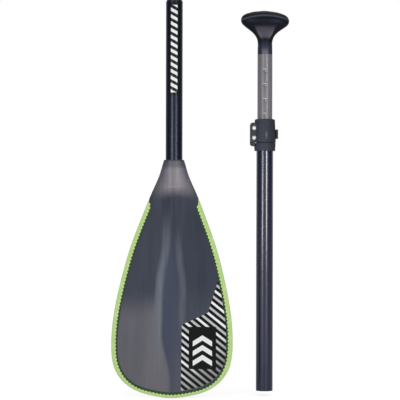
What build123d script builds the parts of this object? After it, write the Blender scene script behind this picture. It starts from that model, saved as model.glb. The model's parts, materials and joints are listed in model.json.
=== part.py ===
from build123d import *
import math
import os

# A take-apart single blade paddle, laid out in its two sections. Millimetres, +Z up the shafts, -Y to the front.
# The origin is on the lower shaft's axis, at the middle of the stretch that a clip holds.

# ---- Layout ----
AXIS_SPACING = 157.8          # from the blade section's axis to the grip section's axis
LOWER_SHAFT_TOP_Z = 221.6     # the coupling's seat
NECK_TOP_Z = -54.2            # where the lower shaft enters the blade's neck
SOCKET_END_Z = -454.9         # lower end of the grip section
UPPER_SHAFT_LENGTH = 464.9
EXTENSION_OUT = 112.3         # tube that shows between the clamp and the grip

# ---- Shafts and tubes ----
SHAFT_OD = 29.2
SHAFT_WALL = 1.5
SLIDE_CLEARANCE = 0.1         # radial, tube or ferrule in a shaft
BOND_GAP = 0.05               # radial, for adhesive
TUBE_WALL = 1.5
TUBE_HIDDEN = 265.0           # tube below the clamp's top
GROOVE_WIDTH = 3.0            # anti-twist groove along the back of the tube
GROOVE_DEPTH = 0.7
GROOVE_TOP_DOWN = 10.0        # groove's top end, below the tube's end
PLUG_LENGTH = 30.0
PLUG_FLANGE = 2.0

# ---- Blade ----
BLADE_LENGTH = 408.4          # neck top to tip, measured upright
BLADE_TURN = -4.2             # degrees that the blade is turned on its shaft
NECK_RADIUS = 17.2
TENON_LENGTH = 52.0           # lower shaft inside the neck
SKIN = 1.3
EDGE_THICKNESS = 4.0
CORE_RIM = 9.0                # solid laminate between the core and the blade's rim
CORE_TOP_DOWN = 26.0          # core's top edge, below the neck's top
RAKE_ANGLE = 8.0              # the blade leans forward of the shaft
RAKE_RADIUS = 300.0
RAKE_START_DOWN = 45.8        # below the neck's top
# The outline's half widths, first by height above the tip, then by depth below the neck's top.
TIP_OUTLINE = [(0.0, 0.0), (32.4, 4.0), (57.4, 10.7), (75.5, 20.6), (89.8, 34.4), (99.2, 51.0), (103.7, 71.5),
               (104.7, 95.4), (102.0, 136.3), (90.4, 197.9), (73.6, 259.9)]
NECK_OUTLINE = [(52.4, 91.4), (37.0, 53.5), (24.6, 24.5), (NECK_RADIUS, 0.0)]
# Cross-sections: a domed neck that turns into a thin lens with a soft spine.
NECK_DEPTH = 17.0             # half the neck's depth
NECK_FADE = 58.0              # length over which the dome turns into the lens
TIP_THICKNESS = 2.5           # half thickness of the lens at the tip
LENS_TAPER = 0.0098           # gain of that half thickness for each millimetre above the tip
SPINE_WIDTH = 14.0            # half width of the spine under the neck
SPINE_SPREAD = 0.125          # gain of that half width for each millimetre below the neck's top
SPINE_FADE_FRONT = 115.0      # depth below the neck's top where half of the spine's rise is left
SPINE_FADE_BACK = 100.0
SECTION_ROWS = 22
SECTION_POINTS = 8            # spline points each side of the middle

# ---- Edge guard ----
GUARD_START_DOWN = 68.8       # below the neck's top
GUARD_WALL = 1.8              # outside the blade's rim
GUARD_LIP_WIDTH = 10.6
GUARD_LIP = 1.1               # lip thickness over each face
GUARD_END_TAPER = 12.0        # length over which each end narrows to a point

# ---- Printed films ----
FILM = 0.15
BLADE_DECAL_TOP = [(17.0, 124.0), (62.0, 145.0), (80.0, 204.0)]   # top edge: from the middle, above the tip
BLADE_DECAL_RIM_GAP = 11.0    # from the outline
SHAFT_DECAL_WIDTH = 13.2
SHAFT_DECAL_LENGTH = 162.0
SHAFT_DECAL_TOP_GAP = 2.6

# ---- Ferrule and snap button ----
SOCKET_WALL = 1.2             # upper shaft's wall where its bore is opened for the ferrule
SOCKET_SPARE = 1.0            # depth of that bore past the ferrule's end
FERRULE_WALL = 1.6
FERRULE_OUT = 75.0
FERRULE_BONDED = 60.0
BUTTON_UP = 38.0              # from the coupling's seat
BUTTON_RADIUS = 3.5
BUTTON_CLEARANCE = 0.1
BUTTON_OUT = 2.3              # proud of the ferrule's outside
BUTTON_DOME = 1.4
BUTTON_FLANGE_RADIUS = 4.6
BUTTON_FLANGE = 1.0
SPRING_STRIP = 0.5
SPRING_WIDTH = 6.0
SPRING_LEG = 24.0
FERRULE_PLUG_DEPTH = 10.0

# ---- Clamp ----
COLLAR_BAND_HEIGHT = 40.3
COLLAR_TOP_RADIUS = 17.6
COLLAR_BAND_RADIUS = 19.2     # at the band's lower edge
COLLAR_LIP = 3.1
SLIT_HEIGHT = 1.2
SLEEVE_HEIGHT = 13.8
SLEEVE_TOP_RADIUS = 18.9
SLEEVE_RADIUS = 18.0
RING_HEIGHT = 4.0
RING_WALL = 1.1
SPLIT = 2.5                   # gap between the ears
EAR_REACH = 25.7              # from the axis
EAR_TOP_DOWN = 6.3            # below the collar's top
EAR_HEIGHT = 40.7
EAR_FRONT = 10.0
EAR_BACK = 9.0
EAR_CORNER = 4.5
SCREW_REACH = 18.7            # from the axis to the screws
SCREW_HEIGHTS_DOWN = (15.8, 32.8)   # below the collar's top
SCREW_RADIUS = 2.0
SCREW_HEAD_RADIUS = 3.35
SCREW_HEAD_HEIGHT = 2.3
SCREW_LENGTH = 25.3
SCREW_SOCKET = 1.1            # radius across the hexagon's corners
POCKET_RADIUS = 4.0
POCKET_DEPTH = 3.0
WASHER = 0.5
CAM_PLATE = 1.5
CAM_PLATE_WIDTH = 7.6
CAM_PLATE_HEIGHT = 26.0
CAM_RADIUS = 5.3
CAM_ECCENTRIC = 0.7
CAM_CLEARANCE = 0.1
DOWEL_RADIUS = 3.0
DOWEL_HEIGHT = 26.0
PIVOT_CLEARANCE = 0.05
HUB_HEIGHT = 9.6
LEVER_HEIGHT = 16.4
LEVER_MIDDLE_DOWN = 26.0      # below the collar's top
LEVER_GAP = 0.8               # from the collar's widest part
LEVER_THICKNESS = 2.5
LEVER_START = 128.0           # degrees round the collar from the right
LEVER_END = -7.0
LEVER_TIP_THICKNESS = 3.2
LEVER_TIP_ARC = 14.0          # degrees

# ---- T-grip ----
GRIP_SPIGOT = 40.0
# Height above the tube's end, half width, half depth.
GRIP_SECTIONS = [(0.0, 12.9, 12.9), (12.0, 12.7, 12.7), (21.0, 12.7, 12.5), (29.3, 14.9, 12.3), (36.0, 19.6, 12.4),
                 (42.5, 27.2, 13.0), (49.6, 36.8, 15.4), (55.0, 41.2, 17.6), (60.0, 41.9, 18.2),
                 (66.6, 38.8, 17.0), (71.2, 30.4, 13.8), (74.2, 19.0, 9.0), (75.9, 5.6, 2.8)]
PALM_CAP_UP = 63.0            # parting line, above the tube's end
GRIP_HOLLOW = (31.0, 10.5, 12.0)    # half width, half depth, height
CAP_RIM = 3.0

# ---- Scale ----
MARK_PITCH = 25.4
MARK_COUNT = 8
MARK_TOP_DOWN = 26.1          # first mark, below the tube's end
MARK_WIDTH = 7.0
MARK_HEIGHT = 1.0
MARK_DEPTH = 0.15

# ---- Sizes that follow ----
SHAFT_R = SHAFT_OD / 2
SHAFT_BORE = SHAFT_R - SHAFT_WALL
TUBE_R = SHAFT_BORE - SLIDE_CLEARANCE
TUBE_BORE = TUBE_R - TUBE_WALL
SOCKET_R = SHAFT_R - SOCKET_WALL
FERRULE_R = SOCKET_R - SLIDE_CLEARANCE
FERRULE_BORE = FERRULE_R - FERRULE_WALL
TIP_Z = NECK_TOP_Z - BLADE_LENGTH
TENON_END_Z = NECK_TOP_Z - TENON_LENGTH
RAKE_START_Z = NECK_TOP_Z - RAKE_START_DOWN
GUARD_START_Z = NECK_TOP_Z - GUARD_START_DOWN
BUTTON_Z = LOWER_SHAFT_TOP_Z + BUTTON_UP
UPPER_SHAFT_TOP_Z = SOCKET_END_Z + UPPER_SHAFT_LENGTH
COLLAR_TOP_Z = UPPER_SHAFT_TOP_Z + RING_HEIGHT + COLLAR_LIP
BAND_END_Z = COLLAR_TOP_Z - COLLAR_BAND_HEIGHT
SLEEVE_TOP_Z = BAND_END_Z - SLIT_HEIGHT
COLLAR_END_Z = SLEEVE_TOP_Z - SLEEVE_HEIGHT
TUBE_TOP_Z = COLLAR_TOP_Z + EXTENSION_OUT
TUBE_END_Z = COLLAR_TOP_Z - TUBE_HIDDEN
SCREW_Z = [COLLAR_TOP_Z - down for down in SCREW_HEIGHTS_DOWN]
SCREW_MIDDLE_Z = sum(SCREW_Z) / len(SCREW_Z)
CAM_FACE_Y = EAR_BACK + CAM_PLATE
PIVOT_Y = CAM_FACE_Y + CAM_CLEARANCE + CAM_RADIUS + CAM_ECCENTRIC
LEVER_Z = COLLAR_TOP_Z - LEVER_MIDDLE_DOWN
GRIP_AXIS = Location((AXIS_SPACING, 0, 0))
FAR = 400.0                   # reach of the cutting blocks
PLANFORM_BACK = 90.0          # reach of the outline's block behind and in front of the shaft
BELOW_TIP = 12.0              # stock past the tip before the outline is cut
OUTLINE_STEPS = 60            # places where the outline's half width is read
OUTLINE_SPANS = 16            # spline spans of each half of a drawn-in outline


# ---- Plain solids ----
def rod(radius, low, high):
    """Cylinder on the Z axis between two heights."""
    return Pos(0, 0, (low + high) / 2) * Cylinder(radius, high - low)


def tube(outer, inner, low, high):
    return rod(outer, low, high) - rod(inner, low - 1, high + 1)


def taper(low_radius, high_radius, low, high):
    return Pos(0, 0, (low + high) / 2) * Cone(low_radius, high_radius, high - low)


def rod_y(radius, front, back, x, z):
    """Cylinder along Y between two depths."""
    return Pos(x, (front + back) / 2, z) * Rot(90, 0, 0) * Cylinder(radius, back - front)


def block(x, y, z):
    """Box between three pairs of limits."""
    size = [high - low for low, high in (x, y, z)]
    middle = [(low + high) / 2 for low, high in (x, y, z)]
    return Pos(*middle) * Box(*size)


# ---- Blade ----
def rake(z):
    """Depth of the blade's middle plane at a height: straight, then an arc, then a slope."""
    down = RAKE_START_Z - z
    slope = math.radians(RAKE_ANGLE)
    arc = RAKE_RADIUS * math.sin(slope)
    if down <= 0:
        return 0.0
    if down <= arc:
        return math.sqrt(RAKE_RADIUS ** 2 - down ** 2) - RAKE_RADIUS
    return RAKE_RADIUS * (math.cos(slope) - 1) - (down - arc) * math.tan(slope)


def half_outline():
    """The right half of the outline, in X and Z, from the tip to the top of the neck."""
    points = [(width, TIP_Z + up) for width, up in TIP_OUTLINE]
    points += [(width, NECK_TOP_Z - down) for width, down in NECK_OUTLINE]
    return Spline(*points, tangents=[(1, 0), (-0.35, 1)])


OUTLINE = half_outline()
OUTLINE_POINTS = [OUTLINE @ (i / OUTLINE_STEPS) for i in range(OUTLINE_STEPS + 1)]


def half_width(z):
    """Half width of the outline at a height, and its widest below the widest point."""
    widest = max(OUTLINE_POINTS, key=lambda p: p.X)
    if z <= widest.Y:
        return widest.X
    for low, high in zip(OUTLINE_POINTS, OUTLINE_POINTS[1:]):
        if low.Y <= z <= high.Y:
            return low.X + (high.X - low.X) * (z - low.Y) / (high.Y - low.Y)
    return OUTLINE_POINTS[-1].X


def planform(inset):
    """The outline drawn in by a distance and made a block through the blade's thickness."""
    right = []
    for i in range(OUTLINE_SPANS + 1):
        point, along = OUTLINE @ (i / OUTLINE_SPANS), OUTLINE % (i / OUTLINE_SPANS)
        right.append((point.X - along.Y * inset, point.Y + along.X * inset))
    left = [(-x, z) for x, z in reversed(right[1:])]
    curve = Spline(*left, (0.0, right[0][1]), *right[1:])
    top = Line(curve @ 1, curve @ 0)
    return extrude(Plane.XZ.offset(-PLANFORM_BACK) * make_face(Curve() + [curve, top]), 2 * PLANFORM_BACK)


def section(z, grow, spread):
    """Closed outline of the blade at a height, thicker or wider than the blade by the two distances."""
    down = NECK_TOP_Z - z
    edge = EDGE_THICKNESS / 2
    lens = TIP_THICKNESS + LENS_TAPER * (z - TIP_Z)
    spine = (SPINE_WIDTH ** 4 + (SPINE_SPREAD * down) ** 4) ** 0.25
    roundness = math.exp(-((down / NECK_FADE) ** 2))
    width = half_width(z) + spread

    def face_points(fade, side):
        rise = (NECK_DEPTH - lens) / (1 + (down / fade) ** 3)
        points = []
        for i in range(-SECTION_POINTS, SECTION_POINTS + 1):
            s = i / SECTION_POINTS
            across = roundness * math.sin(math.pi / 2 * s) + (1 - roundness) * (0.6 * s + 0.4 * s ** 3)
            round_depth = edge + (lens + rise - edge) * math.sqrt(max(0.0, 1 - across ** 2))
            lens_depth = edge + (lens - edge) * (1 - across ** 2) + rise * math.exp(-((across * width / spine) ** 2))
            depth = roundness * round_depth + (1 - roundness) * lens_depth + grow
            points.append(Vector(across * width, rake(z) + side * depth, z))
        return points

    front = face_points(SPINE_FADE_FRONT, -1)
    back = face_points(SPINE_FADE_BACK, 1)[::-1]
    places = [i / (2 * SECTION_POINTS) for i in range(2 * SECTION_POINTS + 1)]
    return Wire([Edge.make_spline(front, parameters=places), Edge.make_line(front[-1], back[0]),
                 Edge.make_spline(back, parameters=places), Edge.make_line(back[-1], front[0])])


def blade_block(grow, spread=0.0):
    """The blade's full depth, from the neck's top to past the tip."""
    length = BLADE_LENGTH + BELOW_TIP
    heights = [NECK_TOP_Z - length * i / (SECTION_ROWS - 1) for i in range(SECTION_ROWS)]
    return Solid.make_loft([section(z, grow, spread) for z in heights])


def front_half():
    """Everything in front of the blade's middle plane."""
    heights = [NECK_TOP_Z + 5, RAKE_START_Z]
    arc_end = RAKE_START_Z - RAKE_RADIUS * math.sin(math.radians(RAKE_ANGLE))
    heights += [RAKE_START_Z + (arc_end - RAKE_START_Z) * i / 4 for i in range(1, 5)]
    heights.append(TIP_Z - 20)
    line = [(rake(z), z) for z in heights]
    corners = line + [(-FAR, TIP_Z - 20), (-FAR, NECK_TOP_Z + 5)]
    face = make_face(Plane.YZ * Polyline(*corners, close=True))
    return extrude(face, FAR, both=True)


def tenon_socket():
    return rod(SHAFT_R + BOND_GAP, TENON_END_Z - 0.5, NECK_TOP_Z + 1)


def bare_blade():
    """Both skins and the core as one, with the rebate that seats the edge guard."""
    below_guard = block((-FAR, FAR), (-FAR, FAR), (TIP_Z - FAR, GUARD_START_Z))
    rebate = below_guard - planform(GUARD_WALL)
    return blade_block(0.0) - rebate


def make_blade():
    blade = bare_blade()
    inner = blade_block(-SKIN) & planform(GUARD_WALL + CORE_RIM)
    inner -= block((-FAR, FAR), (-FAR, FAR), (NECK_TOP_Z - CORE_TOP_DOWN, FAR))
    core = inner - tenon_socket()
    skins = blade - inner - tenon_socket()
    front = front_half()
    film = (blade_block(FILM) & decal_block()) - blade_block(0.0)
    pieces = {
        "front_skin": skins & front,
        "back_skin": skins - front,
        "blade_core": core,
        "edge_guard": make_guard(blade),
        "blade_decal": film & front,
    }
    return {name: Rot(0, 0, BLADE_TURN) * solid for name, solid in pieces.items()}


def make_guard(blade):
    outer = blade_block(GUARD_LIP, spread=1.0) & planform(0.0)
    outer &= block((-FAR, FAR), (-FAR, FAR), (TIP_Z - FAR, GUARD_START_Z))
    guard = outer - planform(GUARD_LIP_WIDTH) - blade
    corner = half_width(GUARD_START_Z)
    wedge = [(corner, GUARD_START_Z), (0, GUARD_START_Z),
             (0, GUARD_START_Z - GUARD_END_TAPER), (corner - GUARD_LIP_WIDTH, GUARD_START_Z - GUARD_END_TAPER)]
    cut = extrude(make_face(Plane.XZ * Polyline(*wedge, close=True)), FAR / 2, both=True)
    return guard - cut - mirror(cut, Plane.YZ)


def decal_block():
    """The printed film's outline: right of the middle, under its top edge, inside the guard."""
    top = [(x, TIP_Z + up) for x, up in BLADE_DECAL_TOP]
    corners = [(top[0][0], TIP_Z), *top, (FAR / 2, top[-1][1]), (FAR / 2, TIP_Z)]
    face = make_face(Plane.XZ * Polyline(*corners, close=True))
    return extrude(face, FAR / 2, both=True) & planform(BLADE_DECAL_RIM_GAP)


# ---- Lower shaft and coupling ----
def make_lower_shaft():
    top = LOWER_SHAFT_TOP_Z - SHAFT_DECAL_TOP_GAP
    film = tube(SHAFT_R + FILM, SHAFT_R, top - SHAFT_DECAL_LENGTH, top)
    film &= block((-SHAFT_DECAL_WIDTH / 2, SHAFT_DECAL_WIDTH / 2), (-SHAFT_OD, 0), (TIP_Z, FAR))
    return {
        "lower_shaft": tube(SHAFT_R, SHAFT_BORE, TENON_END_Z, LOWER_SHAFT_TOP_Z),
        "shaft_decal": film,
        "float_plug": rod(SHAFT_BORE - BOND_GAP, TENON_END_Z + PLUG_FLANGE, TENON_END_Z + PLUG_FLANGE + PLUG_LENGTH),
    }


def make_button():
    """Snap button that points to the back, with the flange that stops it inside the ferrule."""
    tip = FERRULE_R + BUTTON_OUT
    seat = math.sqrt(FERRULE_BORE ** 2 - BUTTON_FLANGE_RADIUS ** 2) - BUTTON_CLEARANCE
    stem = rod_y(BUTTON_RADIUS, seat - 0.5, tip, 0, BUTTON_Z)
    stem = fillet(stem.edges().sort_by(Axis.Y)[-1:], BUTTON_DOME)
    return stem + rod_y(BUTTON_FLANGE_RADIUS, seat - BUTTON_FLANGE, seat, 0, BUTTON_Z)


def make_button_spring():
    """Leaf spring bent to a U inside the ferrule: one leg under the button, the other on the far wall."""
    seat = math.sqrt(FERRULE_BORE ** 2 - BUTTON_FLANGE_RADIUS ** 2) - BUTTON_CLEARANCE
    near = seat - BUTTON_FLANGE - BUTTON_CLEARANCE
    far = -math.sqrt(FERRULE_BORE ** 2 - (SPRING_WIDTH / 2) ** 2) + BUTTON_CLEARANCE
    bend = (near - far) / 2
    low = BUTTON_Z - SPRING_LEG
    middle = Pos(0, (near + far) / 2, low) * Rot(0, 90, 0)
    turn = middle * (Cylinder(bend, SPRING_WIDTH) - Cylinder(bend - SPRING_STRIP, SPRING_WIDTH + 1))
    turn &= block((-FAR, FAR), (-FAR, FAR), (-FAR, low))
    x = (-SPRING_WIDTH / 2, SPRING_WIDTH / 2)
    z = (low, BUTTON_Z + BUTTON_RADIUS)
    return turn + block(x, (near - SPRING_STRIP, near), z) + block(x, (far, far + SPRING_STRIP), z)


def make_coupling():
    top = LOWER_SHAFT_TOP_Z + FERRULE_OUT
    ferrule = tube(FERRULE_R, FERRULE_BORE, LOWER_SHAFT_TOP_Z, top)
    ferrule += tube(SHAFT_BORE - BOND_GAP, FERRULE_BORE, LOWER_SHAFT_TOP_Z - FERRULE_BONDED, LOWER_SHAFT_TOP_Z)
    ferrule -= rod_y(BUTTON_RADIUS + BUTTON_CLEARANCE, 0, SHAFT_OD, 0, BUTTON_Z)
    plug = rod(FERRULE_BORE - BOND_GAP, top - FERRULE_PLUG_DEPTH, top) + rod(FERRULE_R, top, top + PLUG_FLANGE)
    plug = chamfer(plug.edges().sort_by(Axis.Z)[-1:], PLUG_FLANGE / 2)
    return {
        "ferrule": ferrule,
        "ferrule_plug": plug,
        "button_spring": make_button_spring(),
        "snap_button": make_button(),
    }


# ---- Upper shaft and clamp, drawn on their own axis ----
def make_upper_shaft():
    shaft = tube(SHAFT_R, SHAFT_BORE, SOCKET_END_Z, UPPER_SHAFT_TOP_Z)
    shaft -= rod(SOCKET_R, SOCKET_END_Z - 1, SOCKET_END_Z + FERRULE_OUT + PLUG_FLANGE + SOCKET_SPARE)
    shaft -= rod_y(BUTTON_RADIUS + 2 * BUTTON_CLEARANCE, 0, SHAFT_OD, 0, SOCKET_END_Z + BUTTON_UP)
    slot_end = SLEEVE_TOP_Z
    shaft -= block((-SHAFT_OD, 0), (-SPLIT / 2, SPLIT / 2), (slot_end, UPPER_SHAFT_TOP_Z + 1))
    return shaft


def ear_pair():
    """Two lugs left of the collar, apart by the split, with the screws' pockets and holes."""
    top = COLLAR_TOP_Z - EAR_TOP_DOWN
    lugs = block((-EAR_REACH, 0), (-EAR_FRONT, EAR_BACK), (top - EAR_HEIGHT, top))
    outer = lugs.edges().filter_by(Axis.Y).sort_by(Axis.X)[:2]
    lugs = fillet(outer, EAR_CORNER)
    lugs -= rod(SLEEVE_TOP_RADIUS + SLIT_HEIGHT, COLLAR_END_Z - 1, BAND_END_Z)
    return lugs


def make_collar():
    band = taper(COLLAR_BAND_RADIUS, COLLAR_TOP_RADIUS, BAND_END_Z, COLLAR_TOP_Z)
    band = fillet(band.edges().sort_by(Axis.Z)[-1:], COLLAR_LIP)
    sleeve = taper(SLEEVE_RADIUS, SLEEVE_TOP_RADIUS, COLLAR_END_Z, SLEEVE_TOP_Z)
    hinge = rod(SLEEVE_TOP_RADIUS - SLIT_HEIGHT, SLEEVE_TOP_Z, BAND_END_Z)
    hinge -= block((-FAR, SHAFT_BORE), (-FAR, FAR), (SLEEVE_TOP_Z, BAND_END_Z))
    collar = band + sleeve + hinge + ear_pair()
    collar -= rod(SHAFT_R + BOND_GAP, COLLAR_END_Z - 1, COLLAR_TOP_Z - COLLAR_LIP)
    collar -= rod(TUBE_R + 2 * SLIDE_CLEARANCE, COLLAR_END_Z - 1, COLLAR_TOP_Z + 1)
    collar -= block((-FAR, 0), (-SPLIT / 2, SPLIT / 2), (SLEEVE_TOP_Z, FAR))
    seat_low = SCREW_MIDDLE_Z - CAM_PLATE_HEIGHT / 2 - 1
    seat_high = SCREW_MIDDLE_Z + CAM_PLATE_HEIGHT / 2 + 1
    seat_right = -SCREW_REACH + CAM_PLATE_WIDTH / 2 + CAM_CLEARANCE
    collar -= block((-FAR, seat_right), (EAR_BACK, FAR), (seat_low, seat_high))
    for z in SCREW_Z:
        collar -= rod_y(SCREW_RADIUS + BUTTON_CLEARANCE, -FAR / 2, FAR / 2, -SCREW_REACH, z)
        collar -= rod_y(POCKET_RADIUS, -FAR / 2, -EAR_FRONT + POCKET_DEPTH, -SCREW_REACH, z)
    return collar


def make_guide_ring():
    outer = SHAFT_R - BOND_GAP
    ring = tube(outer, outer - RING_WALL, UPPER_SHAFT_TOP_Z, UPPER_SHAFT_TOP_Z + RING_HEIGHT)
    key_half = GROOVE_WIDTH / 2 - 2 * SLIDE_CLEARANCE
    key = block((-key_half, key_half), (TUBE_R - GROOVE_DEPTH + 2 * SLIDE_CLEARANCE, outer - RING_WALL / 2),
                (UPPER_SHAFT_TOP_Z, UPPER_SHAFT_TOP_Z + RING_HEIGHT))
    return ring + key


def make_screws():
    seat = -EAR_FRONT + POCKET_DEPTH - WASHER
    screws = []
    for z in SCREW_Z:
        head = rod_y(SCREW_HEAD_RADIUS, seat - SCREW_HEAD_HEIGHT, seat, -SCREW_REACH, z)
        head = fillet(head.edges().sort_by(Axis.Y)[:1], SCREW_HEAD_HEIGHT * 0.8)
        socket = Pos(-SCREW_REACH, seat - SCREW_HEAD_HEIGHT / 2, z) * Rot(90, 0, 0)
        head -= extrude(socket * RegularPolygon(SCREW_SOCKET, 6), SCREW_HEAD_HEIGHT)
        screws.append(head + rod_y(SCREW_RADIUS, seat, seat + SCREW_LENGTH, -SCREW_REACH, z))
    return Compound(children=screws)


def make_washers():
    seat = -EAR_FRONT + POCKET_DEPTH
    rings = []
    for z in SCREW_Z:
        ring = rod_y(POCKET_RADIUS - 2 * BOND_GAP, seat - WASHER, seat, -SCREW_REACH, z)
        ring -= rod_y(SCREW_RADIUS + BUTTON_CLEARANCE, seat - FAR / 2, seat + 1, -SCREW_REACH, z)
        rings.append(ring)
    return Compound(children=rings)


def make_dowel():
    dowel = Pos(-SCREW_REACH, PIVOT_Y, 0) * rod(DOWEL_RADIUS, SCREW_MIDDLE_Z - DOWEL_HEIGHT / 2,
                                                SCREW_MIDDLE_Z + DOWEL_HEIGHT / 2)
    for z in SCREW_Z:
        dowel -= rod_y(SCREW_RADIUS + PIVOT_CLEARANCE, 0, FAR / 2, -SCREW_REACH, z)
    return dowel


def make_cam_plate():
    x = (-SCREW_REACH - CAM_PLATE_WIDTH / 2, -SCREW_REACH + CAM_PLATE_WIDTH / 2)
    z = (SCREW_MIDDLE_Z - CAM_PLATE_HEIGHT / 2, SCREW_MIDDLE_Z + CAM_PLATE_HEIGHT / 2)
    plate = block(x, (EAR_BACK, CAM_FACE_Y), z)
    for height in SCREW_Z:
        plate -= rod_y(SCREW_RADIUS + BUTTON_CLEARANCE, 0, FAR / 2, -SCREW_REACH, height)
    return plate


def ring_sector(outer, inner, start, end, low, high):
    """Part of a ring on the Z axis between two angles in degrees."""
    points = [(0, 0)]
    steps = 12
    reach = 2 * outer
    for i in range(steps + 1):
        angle = math.radians(start + (end - start) * i / steps)
        points.append((reach * math.cos(angle), reach * math.sin(angle)))
    wedge = extrude(Pos(0, 0, low) * make_face(Polyline(*points, close=True)), high - low)
    return tube(outer, inner, low, high) & wedge


def make_lever():
    """Cam lever: an eccentric hub between the screws, and an arm that wraps round the collar's back."""
    low, high = LEVER_Z - LEVER_HEIGHT / 2, LEVER_Z + LEVER_HEIGHT / 2
    inner = COLLAR_BAND_RADIUS + LEVER_GAP
    arm = ring_sector(inner + LEVER_THICKNESS, inner, LEVER_START, LEVER_END, low, high)
    tip = ring_sector(inner + LEVER_TIP_THICKNESS, inner, LEVER_END + LEVER_TIP_ARC, LEVER_END, low, high)
    hub_low = SCREW_MIDDLE_Z - HUB_HEIGHT / 2
    hub_high = SCREW_MIDDLE_Z + HUB_HEIGHT / 2
    hub = Pos(-SCREW_REACH, PIVOT_Y - CAM_ECCENTRIC, 0) * rod(CAM_RADIUS, hub_low, hub_high)
    web_x = (-SCREW_REACH, -inner * math.cos(math.radians(180 - LEVER_START)))
    web_y = (PIVOT_Y - CAM_ECCENTRIC, PIVOT_Y - CAM_ECCENTRIC + CAM_RADIUS)
    web = block((web_x[0], web_x[1] + LEVER_THICKNESS), web_y, (hub_low, hub_high))
    web -= rod(inner, hub_low - 1, hub_high + 1)
    bore = Pos(-SCREW_REACH, PIVOT_Y, 0) * rod(DOWEL_RADIUS + PIVOT_CLEARANCE, low - 1, high + 1)
    return arm + tip + hub + web - bore


def make_grip_section():
    pieces = {
        "upper_shaft": make_upper_shaft(),
        "clamp_collar": make_collar(),
        "guide_ring": make_guide_ring(),
        "clamp_screws": make_screws(),
        "screw_washers": make_washers(),
        "pivot_dowel": make_dowel(),
        "cam_plate": make_cam_plate(),
        "clamp_lever": make_lever(),
    }
    pieces.update(make_extension())
    return {name: GRIP_AXIS * solid for name, solid in pieces.items()}


# ---- Extension tube and T-grip ----
def make_marks():
    marks = []
    for i in range(MARK_COUNT):
        z = TUBE_TOP_Z - MARK_TOP_DOWN - i * MARK_PITCH
        ring = tube(TUBE_R, TUBE_R - MARK_DEPTH, z - MARK_HEIGHT / 2, z + MARK_HEIGHT / 2)
        marks.append(ring & block((-MARK_WIDTH / 2, MARK_WIDTH / 2), (-FAR, 0), (-FAR, FAR)))
    return Compound(children=marks)


def make_grip():
    sections = []
    for up, width, depth in GRIP_SECTIONS:
        sections.append(Pos(0, 0, TUBE_TOP_Z + up) * Ellipse(width, depth))
    form = loft(sections)
    parting = TUBE_TOP_Z + PALM_CAP_UP
    above = block((-FAR, FAR), (-FAR, FAR), (parting, FAR))
    width, depth, height = GRIP_HOLLOW
    hollow = extrude(Pos(0, 0, parting - height) * Ellipse(width, depth), height)
    rim = extrude(Pos(0, 0, parting - CAP_RIM) * Ellipse(width - BOND_GAP, depth - BOND_GAP), CAP_RIM)
    body = form - above - hollow + rod(TUBE_BORE - BOND_GAP, TUBE_TOP_Z - GRIP_SPIGOT, TUBE_TOP_Z)
    return {"grip_body": body, "palm_cap": (form & above) + rim}


def make_extension():
    body = tube(TUBE_R, TUBE_BORE, TUBE_END_Z, TUBE_TOP_Z)
    groove_x = (-GROOVE_WIDTH / 2, GROOVE_WIDTH / 2)
    body -= block(groove_x, (TUBE_R - GROOVE_DEPTH, FAR), (TUBE_END_Z - 1, TUBE_TOP_Z - GROOVE_TOP_DOWN))
    marks = make_marks()
    plug = rod(TUBE_BORE - BOND_GAP, TUBE_END_Z, TUBE_END_Z + PLUG_LENGTH)
    plug += rod(TUBE_R - GROOVE_DEPTH, TUBE_END_Z - PLUG_FLANGE, TUBE_END_Z)
    pieces = {
        "extension_tube": body - marks,
        "scale_marks": marks,
        "tube_end_plug": plug,
    }
    pieces.update(make_grip())
    return pieces


def main():
    os.makedirs("parts", exist_ok=True)
    pieces = {}
    pieces.update(make_blade())
    pieces.update(make_lower_shaft())
    pieces.update(make_coupling())
    pieces.update(make_grip_section())
    for name, solid in pieces.items():
        export_step(solid, f"parts/{name}.step")


main()
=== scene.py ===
import json
import math

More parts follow.
